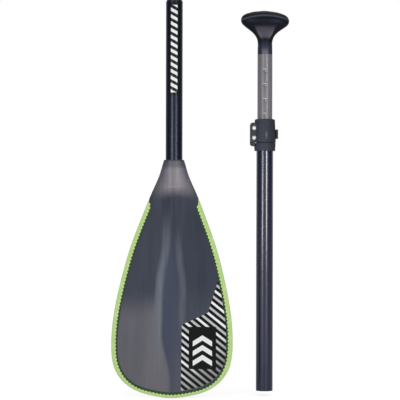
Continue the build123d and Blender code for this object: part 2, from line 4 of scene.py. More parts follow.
import bmesh
import bpy
import numpy as np
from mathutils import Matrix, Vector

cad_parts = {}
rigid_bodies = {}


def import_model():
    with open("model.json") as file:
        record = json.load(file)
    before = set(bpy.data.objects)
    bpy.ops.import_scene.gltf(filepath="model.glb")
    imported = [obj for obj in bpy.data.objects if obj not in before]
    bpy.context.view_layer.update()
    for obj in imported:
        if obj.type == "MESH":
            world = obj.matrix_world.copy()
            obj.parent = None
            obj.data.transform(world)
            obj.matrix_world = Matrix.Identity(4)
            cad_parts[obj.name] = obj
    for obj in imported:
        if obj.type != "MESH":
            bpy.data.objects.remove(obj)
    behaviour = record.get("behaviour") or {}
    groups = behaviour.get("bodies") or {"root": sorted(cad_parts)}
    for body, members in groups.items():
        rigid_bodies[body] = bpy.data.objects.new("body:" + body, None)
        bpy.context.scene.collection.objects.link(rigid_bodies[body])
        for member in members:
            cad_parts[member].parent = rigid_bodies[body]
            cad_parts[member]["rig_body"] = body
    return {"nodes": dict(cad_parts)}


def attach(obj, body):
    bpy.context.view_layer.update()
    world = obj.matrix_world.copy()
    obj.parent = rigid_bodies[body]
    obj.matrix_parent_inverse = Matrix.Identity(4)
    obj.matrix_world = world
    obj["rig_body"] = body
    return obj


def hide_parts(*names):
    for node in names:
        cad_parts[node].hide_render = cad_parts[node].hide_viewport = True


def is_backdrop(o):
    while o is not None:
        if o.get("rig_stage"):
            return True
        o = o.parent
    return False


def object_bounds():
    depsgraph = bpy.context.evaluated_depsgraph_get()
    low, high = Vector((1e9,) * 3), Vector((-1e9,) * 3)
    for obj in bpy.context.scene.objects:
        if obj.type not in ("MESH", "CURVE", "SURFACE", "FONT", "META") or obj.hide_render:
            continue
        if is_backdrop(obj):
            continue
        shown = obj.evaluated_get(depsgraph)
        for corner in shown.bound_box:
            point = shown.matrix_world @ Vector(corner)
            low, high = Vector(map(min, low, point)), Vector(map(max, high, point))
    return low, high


# A take-apart single blade paddle, laid out in its two sections. Metres, +Z up the shafts, -Y to the front.
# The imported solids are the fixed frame; each section below dresses one piece, in the order they go together.
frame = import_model()
cad_low, cad_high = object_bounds()
nodes = frame["nodes"]


# ---- Studio ----
# A pale floor, a white room behind, two tall soft boxes at the front left and right, and the camera that
# looks straight at the front. The floor and room read as white to the lens, and the floor keeps the shadow.
# Gloss also shows the room's back wall and ceiling, and a low pale wall behind the camera.
class Wire:
    """One socket of a shader tree. Arithmetic on it adds Math nodes; node() adds any other node."""

    def __init__(self, tree, socket=None):
        self.tree, self.socket = tree, socket

    def node(self, kind, settings=(), inputs=(), out=0):
        new = self.tree.nodes.new(kind)
        for name, value in dict(settings).items():
            setattr(new, name, value)
        for name, value in dict(inputs).items():
            self.feed(new.inputs[name], value)
        return Wire(self.tree, new.outputs[out])

    def also(self, name):
        """Another output of the same node."""
        return Wire(self.tree, self.socket.node.outputs[name])

    def feed(self, socket, value):
        if isinstance(value, Wire):
            self.tree.links.new(value.socket, socket)
        else:
            socket.default_value = value

    def maths(self, operation, *values):
        return self.node("ShaderNodeMath", {"operation": operation}, enumerate(values))

    def __add__(self, other):
        return self.maths("ADD", self, other)

    def __sub__(self, other):
        return self.maths("SUBTRACT", self, other)

    def __rsub__(self, other):
        return self.maths("SUBTRACT", other, self)

    def __mul__(self, other):
        return self.maths("MULTIPLY", self, other)

    def __truediv__(self, other):
        return self.maths("DIVIDE", self, other)

    def __rtruediv__(self, other):
        return self.maths("DIVIDE", other, self)

    __radd__, __rmul__ = __add__, __mul__

    def __pow__(self, other):
        return self.maths("POWER", self, other)

    def __abs__(self):
        return self.maths("ABSOLUTE", self)

    def wave(self):
        """Smooth ripples between 0 and 1, one for each whole number."""
        return 0.5 + 0.5 * self.maths("SINE", self * (2 * math.pi))

    def above(self, level, soft):
        """0 below the level and 1 above it, with a soft step."""
        return self.node("ShaderNodeMapRange", {"interpolation_type": "SMOOTHSTEP"},
                         {0: self, 1: level - soft, 2: level + soft})

    def around(self, level, half):
        """1 at the level, falling evenly to 0 at so far on each side of it."""
        return 1 - self.maths("MINIMUM", abs(self - level) / half, 1.0)

    def mix(self, dark, light):
        """A colour between two, by this wire's value."""
        return self.node("ShaderNodeMix", {"data_type": "RGBA"}, {0: self, 6: dark, 7: light}, out=2)


def rgb(red, green, blue):
    """A colour as a screen shows it, 0 to 255, made linear for a shader."""
    return tuple(((c / 255 + 0.055) / 1.055) ** 2.4 if c > 10 else c / 255 / 12.92 for c in (red, green, blue)) + (1,)


frame_half, camera_away, camera_x, camera_z, camera_roll = 0.348, 3.0, 0.0453, -0.1238, -0.13
camera = bpy.data.objects.new("camera", bpy.data.cameras.new("camera"))
camera.data.angle = 2 * math.atan(frame_half / camera_away)
camera.location = (camera_x, -camera_away, camera_z)
camera.rotation_euler = (math.radians(90), math.radians(camera_roll), 0)
bpy.context.scene.collection.objects.link(camera)
bpy.context.scene.camera = camera
bpy.context.scene.view_settings.view_transform = "Standard"

box_turn, box_away, box_middle_x, box_z = 29, 2.0, 0.045, -0.01
box_width, box_height, box_power = 0.3, 0.52, 9.5
for name, azimuth in (("soft_box_left", -box_turn), ("soft_box_right", box_turn)):
    lamp = bpy.data.lights.new(name, "AREA")
    lamp.shape, lamp.size, lamp.size_y, lamp.energy = "RECTANGLE", box_width, box_height, box_power
    stand = bpy.data.objects.new(name, lamp)
    turn = math.radians(azimuth)
    stand.location = (box_middle_x + box_away * math.sin(turn), -box_away * math.cos(turn), box_z)
    stand.rotation_euler = (math.radians(90), 0, turn)
    stand.visible_camera = False
    bpy.context.scene.collection.objects.link(stand)

fill_light, back_wall_gloss, ceiling_gloss, front_wall_gloss = 0.68, 0.8, 0.6, 0.6
room = bpy.data.worlds.new("room")
bpy.context.scene.world = room
room.use_nodes = True
room.node_tree.nodes.clear()
sky = Wire(room.node_tree)
camera_ray = sky.node("ShaderNodeLightPath")
glossy_ray, clear_ray = camera_ray.also("Is Glossy Ray"), camera_ray.also("Is Transmission Ray")
way = sky.node("ShaderNodeSeparateXYZ", {}, {0: sky.node("ShaderNodeTexCoord")})
back, up = way.also("Y"), way.also("Z")
back_wall, ceiling = back.above(0.5, 0.4), up.above(0.7, 0.25)
front_wall = (-1.0 * back).above(0.92, 0.07) * up.above(-0.055, 0.03) * (1 - up.above(0.17, 0.05))
mirrored = back_wall_gloss * back_wall + ceiling_gloss * ceiling + front_wall_gloss * front_wall
white = sky.maths("MAXIMUM", camera_ray, clear_ray)
level = white + (1 - white) * (glossy_ray * mirrored + (1 - glossy_ray) * fill_light)
shade = sky.node("ShaderNodeBackground", {}, {"Color": (1, 1, 1, 1), "Strength": level})
sky.feed(room.node_tree.nodes.new("ShaderNodeOutputWorld").inputs[0], shade)

floor_z, floor_half, floor_grey, floor_glow, floor_gloss = cad_low.z - 0.0005, 30, 0.45, 0.72, 0.1
floor_mesh = bpy.data.meshes.new("floor")
corners = [(x * floor_half, y * floor_half, floor_z) for x, y in ((-1, -1), (1, -1), (1, 1), (-1, 1))]
floor_mesh.from_pydata(corners, [], [(0, 1, 2, 3)])
floor = bpy.data.objects.new("floor", floor_mesh)
bpy.context.scene.collection.objects.link(floor)
floor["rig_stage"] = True
pale = bpy.data.materials.new("floor")
pale.use_nodes = True
pale.node_tree.nodes.clear()
ground = Wire(pale.node_tree)
camera_ray = ground.node("ShaderNodeLightPath")
seen = ground.maths("MAXIMUM", camera_ray, floor_gloss * camera_ray.also("Is Glossy Ray"))
seen = ground.maths("MAXIMUM", seen, camera_ray.also("Is Transmission Ray"))
lit = ground.node("ShaderNodeBsdfDiffuse", {}, {"Color": (floor_grey, floor_grey, floor_grey, 1)})
glow = ground.node("ShaderNodeEmission", {}, {"Color": (1, 1, 1, 1), "Strength": floor_glow * seen})
both = ground.node("ShaderNodeAddShader", {}, {0: lit, 1: glow})
ground.feed(pale.node_tree.nodes.new("ShaderNodeOutputMaterial").inputs[0], both)
floor_mesh.materials.append(pale)


# ---- Blade ----
# Two laminated skins over a foam core, bonded to it and together round the rim: a domed neck that takes the shaft
# runs out into a thin lens with a soft spine and a faint crease down the face. The laminate is slate blue with an
# upright grain, paler at the neck and on the lower left flank, with painted highlights and painted shade.
tip_z, neck_z, blade_turn = -0.4626, -0.0542, math.radians(-4.2)
blade_edge, tip_bulge, bulge_growth, neck_bulge = 0.002, 0.0025, 0.0098, 0.017
neck_fade, front_fade, back_fade, spine_half, spine_spread = 0.058, 0.115, 0.1, 0.014, 0.125
crease_x, crease_half, crease_depth, crease_down = -0.0035, 0.035, 0.0007, 0.16
bend_z, bend_radius, lean = -0.1, 0.3, math.radians(8)
skin_wall, socket_r, socket_deep = 0.0013, 0.01465, 0.0525
core_rim_in, core_top_down, core_foot_up = 0.009, 0.026, 0.012
guard_start_z, guard_wall = -0.1222, 0.0018
outline_points = [(0, 0), (0.0324, 0.004), (0.0574, 0.0107), (0.0755, 0.0206), (0.0898, 0.0344), (0.0992, 0.051),
                  (0.1037, 0.0715), (0.1047, 0.0954), (0.102, 0.1363), (0.0904, 0.1979), (0.0736, 0.2599),
                  (0.0524, 0.317), (0.037, 0.3549), (0.0246, 0.3839), (0.0172, 0.4084)]


def curve_through(points, first, last, count):
    """Points and unit tangents along the smooth curve through some points, with its end directions given."""
    points = np.array(points, float)
    gaps = np.linalg.norm(np.diff(points, axis=0), axis=1)
    size = len(points)
    matrix, right = np.eye(size), np.zeros_like(points)
    right[0], right[-1] = first, last
    for i in range(1, size - 1):
        matrix[i, i - 1:i + 2] = gaps[i], 2 * (gaps[i - 1] + gaps[i]), gaps[i - 1]
        right[i] = 3 * (gaps[i] * (points[i] - points[i - 1]) / gaps[i - 1]
                        + gaps[i - 1] * (points[i + 1] - points[i]) / gaps[i])
    slopes = np.linalg.solve(matrix, right)
    knots = np.concatenate([[0], np.cumsum(gaps)])
    places = np.linspace(0, knots[-1], count)
    span = np.clip(np.searchsorted(knots, places, side="right") - 1, 0, size - 2)
    gap = gaps[span][:, None]
    t = (places - knots[span])[:, None] / gap
    a, b, u, v = points[span], points[span + 1], slopes[span] * gap, slopes[span + 1] * gap
    on = ((2 * t ** 3 - 3 * t ** 2 + 1) * a + (t ** 3 - 2 * t ** 2 + t) * u
          + (3 * t ** 2 - 2 * t ** 3) * b + (t ** 3 - t ** 2) * v)
    along = (6 * t ** 2 - 6 * t) * (a - b) + (3 * t ** 2 - 4 * t + 1) * u + (3 * t ** 2 - 2 * t) * v
    return on, along / np.linalg.norm(along, axis=1)[:, None]


outline, outline_way = curve_through(outline_points, (1, 0), np.array((-0.35, 1)) / np.hypot(0.35, 1), 261)
outline[:, 1] += tip_z
widest = int(np.argmax(outline[:, 0]))
guard_start_z = outline[outline[:, 1] < guard_start_z, 1].max()


def drawn_in(distance):
    """The right half of the outline moved into the blade."""
    return outline + distance * np.stack([-outline_way[:, 1], outline_way[:, 0]], axis=1)


def rake(z):
    """Depth of the blade's middle plane: straight, then an arc, then a slope to the front."""
    down, arc = np.maximum(bend_z - z, 0), bend_radius * math.sin(lean)
    bent = np.sqrt(bend_radius ** 2 - np.minimum(down, arc) ** 2) - bend_radius
    return bent - np.maximum(down - arc, 0) * math.tan(lean)


def face_depth(x, z, front):
    """Distance of a skin's outer face from the blade's middle plane."""
    down, up = np.maximum(neck_z - z, 0), z - tip_z
    above_widest = np.interp(z, outline[widest:, 1], outline[widest:, 0])
    width = np.where(z > outline[widest, 1], above_widest, outline[widest, 0])
    a = np.clip(x / width, -1, 1)
    lens = tip_bulge + bulge_growth * up
    spine = (spine_half ** 4 + (spine_spread * down) ** 4) ** 0.25
    roundness = np.exp(-(down / neck_fade) ** 2)
    rise = (neck_bulge - lens) / (1 + (down / (front_fade if front else back_fade)) ** 3)
    dome = blade_edge + (lens + rise - blade_edge) * np.sqrt(1 - a ** 2)
    thin = blade_edge + (lens - blade_edge) * (1 - a ** 2) + rise * np.exp(-(a * width / spine) ** 2)
    crease = crease_depth * np.clip(1 - np.abs(x - crease_x) / crease_half, 0, 1)
    crease = crease * np.clip((down - crease_down) / 0.1, 0, 1)
    return roundness * dome + (1 - roundness) * thin + crease * np.clip(up / 0.03, 0, 1)


def shell(outer, inner):
    """Points and faces of a closed piece between two grids of points."""
    rows, cols = outer.shape[:2]
    place = np.arange(2 * rows * cols).reshape(2, rows, cols)
    faces = []
    for layer in place:
        quads = np.stack([layer[:-1, :-1], layer[:-1, 1:], layer[1:, 1:], layer[1:, :-1]], -1)
        faces += [tuple(quad) for quad in quads.reshape(-1, 4)]
    rim = [np.concatenate([p[0, :-1], p[:-1, -1], p[-1, :0:-1], p[:0:-1, 0]]) for p in place]
    faces += [(rim[0][i - 1], rim[0][i], rim[1][i], rim[1][i - 1]) for i in range(len(rim[0]))]
    return np.concatenate([outer.reshape(-1, 3), inner.reshape(-1, 3)]), faces


def on_shaft(points):
    """Turns points of the blade the little that it is turned on its shaft."""
    x, y, z = np.moveaxis(np.asarray(points), -1, 0)
    return np.stack([x * math.cos(blade_turn) - y * math.sin(blade_turn),
                     x * math.sin(blade_turn) + y * math.cos(blade_turn), z], -1)


def piece(name, points, faces, materials, body, stands_for, slot, sharp=35, kinds=None):
    """A finished piece: doubles merged, faces outward, smooth but for its sharp edges, on its body."""
    mesh = bpy.data.meshes.new(name)
    mesh.from_pydata([tuple(map(float, p)) for p in points], [], [tuple(map(int, f)) for f in faces])
    if kinds is not None:
        mesh.polygons.foreach_set("material_index", kinds)
    shape = bmesh.new()
    shape.from_mesh(mesh)
    bmesh.ops.remove_doubles(shape, verts=shape.verts, dist=2e-6)
    bmesh.ops.dissolve_degenerate(shape, edges=shape.edges, dist=1e-6)
    bmesh.ops.recalc_face_normals(shape, faces=shape.faces)
    shape.to_mesh(mesh)
    shape.free()
    on_body(mesh, name, materials, body, stands_for, sharp)


def on_body(mesh, name, materials, body, stands_for, sharp=35):
    """Makes a mesh a piece of that body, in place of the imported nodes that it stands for."""
    mesh.polygons.foreach_set("use_smooth", [True] * len(mesh.polygons))
    mesh.set_sharp_from_angle(angle=math.radians(sharp))
    if materials:
        kinds = [face.material_index for face in mesh.polygons]
        mesh.materials.clear()
        for material in materials if isinstance(materials, list) else [materials]:
            mesh.materials.append(material)
        mesh.polygons.foreach_set("material_index", kinds)
    made = bpy.data.objects.new(name, mesh)
    bpy.context.scene.collection.objects.link(made)
    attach(made, body)
    if stands_for:
        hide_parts(*stands_for)
    return made


def skin(front):
    """Grids of one skin's outer and inner faces, from the tip up to the neck's open top."""
    full, seated = drawn_in(0.0), drawn_in(guard_wall)
    split = int(np.searchsorted(full[:, 1], guard_start_z, side="right"))
    seated = seated[seated[:, 1] < guard_start_z - 0.001]
    ledge = np.array([[np.interp(guard_start_z, full[:, 1], full[:, 0]) - cut, guard_start_z - 0.36 * cut]
                      for cut in (guard_wall, 0)])
    rows = np.concatenate([seated, ledge, full[split:]])
    turn = np.sin(np.linspace(-math.pi / 2, math.pi / 2, 97))
    z = np.repeat(rows[:, 1:], len(turn), axis=1)
    x = rows[:, :1] * turn[None, :]
    side = -1 if front else 1
    depth = face_depth(x, z, front)
    bore = np.where(z > neck_z - socket_deep, np.sqrt(np.maximum(socket_r ** 2 - x ** 2, 0)), 0)
    core_rim = drawn_in(guard_wall + core_rim_in)
    room_for_core = np.abs(x) < np.interp(z, core_rim[widest:, 1], core_rim[widest:, 0])
    room_for_core &= (z < neck_z - core_top_down) & (z > tip_z + core_foot_up)
    inner = np.minimum(np.maximum(bore, np.where(room_for_core, depth - skin_wall, 0)), depth)
    middle = rake(z)
    return [on_shaft(np.stack([x, middle + side * d, z], -1)) for d in (depth, inner)]


def finish(name):
    """A new material: its shader, a wire to build on, and the wire of the point's own place."""
    material = bpy.data.materials.new(name)
    material.use_nodes = True
    tree = material.node_tree
    tree.nodes.clear()
    shader = tree.nodes.new("ShaderNodeBsdfPrincipled")
    tree.links.new(shader.outputs[0], tree.nodes.new("ShaderNodeOutputMaterial").inputs[0])
    wire = Wire(tree)
    return material, shader.inputs, wire, wire.node("ShaderNodeTexCoord", out=3)


def noise(wire, place, stretch, detail=3.0, rough=0.5):
    """Cloudy values about 0.5, with so many changes a metre along each axis."""
    scaled = wire.node("ShaderNodeVectorMath", {"operation": "MULTIPLY"}, {0: place, 1: stretch})
    return wire.node("ShaderNodeTexNoise", {}, {"Vector": scaled, "Scale": 1.0, "Detail": detail, "Roughness": rough})


def relief(wire, inputs, height, depth):
    """Raises the surface by a pattern of heights, so many metres deep."""
    bump = wire.node("ShaderNodeBump", {}, {"Strength": 1.0, "Distance": depth, "Height": height})
    wire.feed(inputs["Normal"], bump)


def across_blade(wire, place):
    """How far a point is right of the blade's own middle line, and its height."""
    x = wire.node("ShaderNodeSeparateXYZ", {}, {0: place})
    return x * math.cos(blade_turn) + x.also("Y") * math.sin(blade_turn), x.also("Z")


# The laminate's colours: two pale streaks that spread down the face, painted highlights of the lamps on the spine's
# flanks, with blue between them; the pale flank on the lower left, a greyer strip on its right; and the pale neck
# with a darker band round its mouth, painted shadow at its rim and painted shade down its sides. Heights, then
# distances.
spread_z, highlight_streaks_top_z, right_top_z, right_foot_z, blue_top_z = -0.236, -0.165, -0.195, -0.345, -0.2
flank_z, foot_z, neck_end_z, band_z, mouth_z, shaft_end_z = -0.298, -0.39, -0.1085, -0.0672, -0.057, -0.101
left_x, right_x, left_spread, right_spread, flank_x, foot_shift = -0.0115, 0.0095, 0.012, 0.0075, -0.0205, 0.0185
slate_deep, slate_pale, blue, highlight_streak_grey = rgb(40, 47, 63), rgb(58, 65, 81), rgb(61, 70, 92), rgb(103, 109, 121)
flank_grey, right_grey, neck_grey = rgb(101, 99, 107), rgb(82, 85, 95), rgb(148, 143, 149)
laminate, gloss, wire, place = finish("blade_laminate")
x, z = across_blade(wire, place)
waver = (noise(wire, place, (9, 9, 5)) - 0.5) * 0.02
drift = (noise(wire, place, (4, 4, 9), 2.0) - 0.5) * 0.006
grain = noise(wire, place, (420, 420, 6), 4.0, 0.6)
strands = noise(wire, place, (150, 150, 3), 3.0, 0.6).above(0.5, 0.22)
broad = noise(wire, place, (40, 40, 5), 3.0).above(0.5, 0.25)
mottle = noise(wire, place, (160, 160, 60), 3.0, 0.6).above(0.5, 0.25)
off = abs(x - 0.003 + 0.3 * waver)


def near(middle, half):
    """1 on an upright line, falling smoothly to 0 at so far on each side of it."""
    side = wire.maths("MINIMUM", abs(x + drift - middle) / half, 1.0)
    return (1 - side * side) ** 2.0


spread = 1 - z.above(spread_z, 0.045)
# Painted highlights: the two pale streaks stand in for the lamps' reflections on the spine's flanks.
left_highlight_streak = near(left_x - left_spread * spread, 0.0105) * (1 - z.above(highlight_streaks_top_z, 0.04))
left_highlight_streak = left_highlight_streak * (0.65 + 0.35 * spread)
right_highlight_streak = near(right_x + right_spread * spread, 0.009) * (1 - z.above(right_top_z, 0.035))
right_highlight_streak = right_highlight_streak * z.above(right_foot_z, 0.03)
between = (x + 0.016).above(0.0, 0.009) * (1 - x.above(0.014, 0.009)) * (1 - z.above(blue_top_z, 0.05))
low = 1 - (z + waver - 0.1 * x).above(flank_z, 0.03)
foot = 1 - (z + 0.5 * waver).above(foot_z, 0.055)
left = 1 - (x + 0.5 * drift - foot_shift * foot).above(flank_x, 0.004)
right = (x - 0.003).above(0.0, 0.014)
colour = (0.25 + 0.5 * broad).mix(slate_deep, slate_pale)
colour = (0.7 * between).mix(colour, blue)
pale = 0.72 + 0.3 * (x + drift + 0.055).above(0.0, 0.045) - 0.2 * near(-0.0565, 0.018) + 0.16 * (broad - 0.5)
colour = (low * left * pale).mix(colour, flank_grey)
colour = (low * (1 - left) * right * (0.3 + 0.6 * foot)).mix(colour, right_grey)
highlight_streaks = wire.maths("MAXIMUM", left_highlight_streak * (1 - foot), 0.55 * right_highlight_streak)
colour = (0.85 * highlight_streaks * (0.8 + 0.4 * strands)).mix(colour, highlight_streak_grey)
neck_half = 0.0165 - 0.43 * (z - neck_z)
thin_end = (z + wire.maths("MINIMUM", 8.0 * off * off, 0.003) + 0.4 * waver).above(neck_end_z, 0.0135)
# A darker band round the neck's mouth, with painted shadow at its rim where the shaft goes in.
mouth_band_and_shadow = 0.5 * (z + 0.2 * waver).above(band_z, 0.004) + 0.35 * z.above(mouth_z, 0.0012)
shaft_end = near(0.0, 0.02) * (z + 0.3 * waver).around(shaft_end_z, 0.0016)
# Painted shade: the neck darker towards its rounded sides.
side_shade = 1 - 0.72 * (off / neck_half).above(0.5, 0.4)
cloudy = 0.8 + 0.14 * mottle + 0.14 * strands
neck = thin_end * (1 - mouth_band_and_shadow) * side_shade * (1 - 0.2 * near(0.0, 0.006)) * cloudy + 0.3 * shaft_end
colour = neck.mix(colour, neck_grey)
value = 0.9 + 0.1 * grain + 0.08 * strands
wire.feed(gloss["Base Color"], wire.node("ShaderNodeHueSaturation", {}, {"Color": colour, "Value": value}))
wire.feed(gloss["Roughness"], 0.5 + 0.12 * (grain - 0.5))
relief(wire, gloss, grain, 0.000015)
gloss["Specular IOR Level"].default_value = 0.3
piece("front_laminate", *shell(*skin(True)), laminate, "blade_section", ["front_skin"], "blade_laminate")
piece("back_laminate", *shell(*skin(False)), laminate, "blade_section", ["back_skin"], "blade_laminate")

# The closed-cell foam core, cut to the skins' inside and never seen.
foam, gloss, wire, place = finish("foam")
cells = noise(wire, place, (600, 600, 600), 2.0)
wire.feed(gloss["Base Color"], cells.mix(rgb(196, 190, 172), rgb(226, 222, 208)))
gloss["Roughness"].default_value = 0.9
relief(wire, gloss, cells, 0.0002)
nodes["blade_core"].data.materials.clear()
nodes["blade_core"].data.materials.append(foam)


# ---- Edge guard ----
# A soft green U-section pressed over the blade's rim, with a thin darker lip inside, whose dark green is painted
# shade under the band's edge, and a row of rounded teeth moulded along the inner edge of both its faces, one each
# 6.3 mm, coloured a paler green as painted highlight. Its band is narrower round the tip.
band_width, lip_width, lip_taper, tooth_pitch, tooth_seat = 0.0066, 0.0109, 0.012, 0.0063, 0.0004
tip_band, tip_lip, narrow_up, narrow_over = 0.58, 0.86, 0.006, 0.046
below = outline[:, 1] <= guard_start_z
rim, into_blade = outline[below], np.stack([-outline_way[below, 1], outline_way[below, 0]], axis=1)
reach = np.clip((guard_start_z - rim[:, 1]) / lip_taper, 0.2, 1)
from_tip = np.clip((rim[:, 1] - tip_z - narrow_up) / narrow_over, 0, 1)
eased_in = from_tip ** 2 * (3 - 2 * from_tip)
band = band_width * (tip_band + (1 - tip_band) * eased_in)
lip = lip_width * (tip_lip + (1 - tip_lip) * eased_in)


def skinned(rings):
    """Points and faces of a skin over rings of points, each ring a closed loop, with both ends filled."""
    count, size = rings.shape[:2]
    faces = []
    for i in range(count - 1):
        a, b = i * size, (i + 1) * size
        faces += [(a + j, a + (j + 1) % size, b + (j + 1) % size, b + j) for j in range(size)]
    faces += [tuple(range(size)), tuple(range((count - 1) * size, count * size))]
    return rings.reshape(-1, 3), faces


def on_face(in_from_rim, lift, front):
    """Points along the right half of the guarded rim, a distance in from it and lifted off that face."""
    flat = rim + in_from_rim[:, None] * into_blade
    depth = face_depth(flat[:, 0], flat[:, 1], front) + lift
    return np.stack([flat[:, 0], rake(flat[:, 1]) + (-depth if front else depth), flat[:, 1]], -1)


# The section, as (share of the band, share of the thin lip, lift off the face), from the lip's foot out to the rim.
section = [(1, 1, -0.0001), (1, 1, 0.0003), (1, 0.9, 0.0004), (1, 0.1, 0.0004), (1, 0, 0.0008), (0.95, 0, 0.00105),
           (0.62, 0, 0.0011), (0.57, 0, 0.0009), (0.52, 0, 0.0011), (0.2, 0, 0.001), (0.07, 0, 0.0006), (0, 0, 0)]
faces_of_lip = [[on_face((band * a + (lip - band) * b) * reach, lift, front) for a, b, lift in section]
                for front in (True, False)]
throat = [on_face(guard_wall * np.minimum(0.97, reach * 3), -0.0001, front) for front in (False, True)]
right_half = np.stack(faces_of_lip[0] + faces_of_lip[1][::-1] + throat, axis=1)
left_half = right_half[::-1] * np.array([-1, 1, 1])
guard_points, guard_faces = skinned(on_shaft(np.concatenate([left_half, right_half[1:]])))
lip_steps, round_section = 3, right_half.shape[1]
back_lip = 2 * len(section) - 1 - lip_steps
kinds = [int(j < lip_steps or 0 <= j - back_lip < lip_steps) for j in range(round_section)]
kinds = kinds * (len(guard_faces) // round_section) + [0, 0]


def soft_plastic(name, deep, pale):
    """A soft matt plastic: a fine mould grain, and pale scuffs here and there."""
    material, gloss, wire, place = finish(name)
    mould = noise(wire, place, (700, 700, 700), 3.0)
    scuffs = noise(wire, place, (60, 60, 60), 4.0, 0.7).above(0.6, 0.07)
    wire.feed(gloss["Base Color"], (0.4 * scuffs).mix(mould.mix(deep, pale), rgb(214, 232, 184)))
    wire.feed(gloss["Roughness"], 0.42 + 0.12 * mould)
    relief(wire, gloss, mould, 0.00008)
    gloss["Specular IOR Level"].default_value = 0.35
    return material


guard_green = soft_plastic("guard_plastic", rgb(174, 205, 124), rgb(188, 219, 138))
# The teeth are a paler copy of the guard's green: a painted highlight on their rounded tops.
lit_tooth_green = soft_plastic("guard_tooth_plastic_painted_lit", rgb(184, 215, 138), rgb(199, 228, 156))
# The thin lip is coloured dark green as painted shade, where the band's edge shades the blade.
shade_lip_green, gloss, wire, place = finish("guard_lip_plastic_painted_shade")
wire.feed(gloss["Base Color"], noise(wire, place, (500, 500, 500)).mix(rgb(20, 50, 16), rgb(34, 72, 28)))
gloss["Roughness"].default_value = 0.55
piece("rim_guard", guard_points, guard_faces, [guard_green, shade_lip_green], "blade_section", ["edge_guard"],
      "guard_plastic", kinds=kinds)


def seats(front):
    """Where the teeth stand on one face: points along the lip, with the way it runs and the face's own way out."""
    at = (band - tooth_seat) * reach
    path, inner, outer = (on_face(np.maximum(at + shift, 0), 0.0, front) for shift in (0, 0.0005, -0.0005))
    path, inner, outer = (np.concatenate([row[::-1] * (-1, 1, 1), row[1:]]) for row in (path, inner, outer))
    run = np.concatenate([[0], np.cumsum(np.linalg.norm(np.diff(path, axis=0), axis=1))])
    bare_end = 0.6 * lip_taper
    places = np.arange(run[-1] % tooth_pitch / 2 + bare_end, run[-1] - bare_end, tooth_pitch)
    along = np.gradient(path, axis=0)
    out = np.cross(along, inner - outer) * (1 if front else -1)
    return [on_shaft(np.stack([np.interp(places, run, row[:, i]) for i in range(3)], -1))
            for row in (path, along, out)]


def tree_input(tree, name, kind, value=None):
    """Adds a named input to a tree and gives the identifier that a modifier sets it by."""
    socket = tree.interface.new_socket(name, in_out="INPUT", socket_type=kind)
    if value is not None:
        socket.default_value = value
    return socket.identifier


teeth = bpy.data.node_groups.new("guard_teeth", "GeometryNodeTree")
teeth.interface.new_socket("Geometry", in_out="INPUT", socket_type="NodeSocketGeometry")
for name, value in (("Half Length", 0.0025), ("Reach", 0.0024), ("Height", 0.0021)):
    tree_input(teeth, name, "NodeSocketFloat", value)
tooth_finish = tree_input(teeth, "Material", "NodeSocketMaterial")
teeth.interface.new_socket("Geometry", in_out="OUTPUT", socket_type="NodeSocketGeometry")
given = Wire(teeth).node("NodeGroupInput")
blank = given.node("GeometryNodeMeshCylinder", {"fill_type": "NGON"},
                   {"Vertices": 16, "Side Segments": 4, "Radius": 1.0, "Depth": 1.0})
spot = given.node("GeometryNodeInputPosition")
height = given.node("ShaderNodeSeparateXYZ", {}, {0: spot}, out=2)
narrow = 1 - 0.3 * given.maths("MAXIMUM", height * 2, 0.0) ** 2.5
size = given.node("ShaderNodeCombineXYZ", {}, {0: given.also("Half Length") * narrow, 1: given.also("Reach") * narrow,
                                               2: given.also("Height")})
tooth = given.node("GeometryNodeSetPosition", {}, {
    "Geometry": blank, "Position": given.node("ShaderNodeVectorMath", {"operation": "MULTIPLY"}, {0: spot, 1: size})})
turned_to = given.node("FunctionNodeAxesToRotation", {"primary_axis": "Z", "secondary_axis": "X"}, {
    0: given.node("GeometryNodeInputNamedAttribute", {"data_type": "FLOAT_VECTOR"}, {"Name": "out"}),
    1: given.node("GeometryNodeInputNamedAttribute", {"data_type": "FLOAT_VECTOR"}, {"Name": "along"})})
row = given.node("GeometryNodeInstanceOnPoints", {}, {"Points": given, "Instance": tooth, "Rotation": turned_to})
solid = given.node("GeometryNodeRealizeInstances", {}, {0: row})
done = given.node("GeometryNodeSetMaterial", {}, {"Geometry": solid, "Material": given.also("Material")})
given.feed(teeth.nodes.new("NodeGroupOutput").inputs[0], done)


def grown(name, points, attributes, tree, inputs):
    """The mesh that a tree makes of some points, as a plain mesh."""
    mesh = bpy.data.meshes.new(name)
    mesh.from_pydata([tuple(map(float, p)) for p in points], [], [])
    for key, values in attributes.items():
        attribute = mesh.attributes.new(key, "FLOAT_VECTOR", "POINT")
        attribute.data.foreach_set("vector", values.astype(np.float32).ravel())
    maker = bpy.data.objects.new(name + "_points", mesh)
    bpy.context.scene.collection.objects.link(maker)
    modifier = maker.modifiers.new("grow", "NODES")
    modifier.node_group = tree
    for identifier, value in inputs.items():
        modifier[identifier] = value
    plain = bpy.data.meshes.new_from_object(maker.evaluated_get(bpy.context.evaluated_depsgraph_get()))
    maker.modifiers.remove(modifier)
    bpy.data.objects.remove(maker)
    return plain


for front in (True, False):
    stand, along, out = seats(front)
    name = "front_teeth" if front else "back_teeth"
    row_of_teeth = grown(name, stand, {"along": along, "out": out}, teeth, {tooth_finish: lit_tooth_green})
    on_body(row_of_teeth, name, None, "blade_section", [])


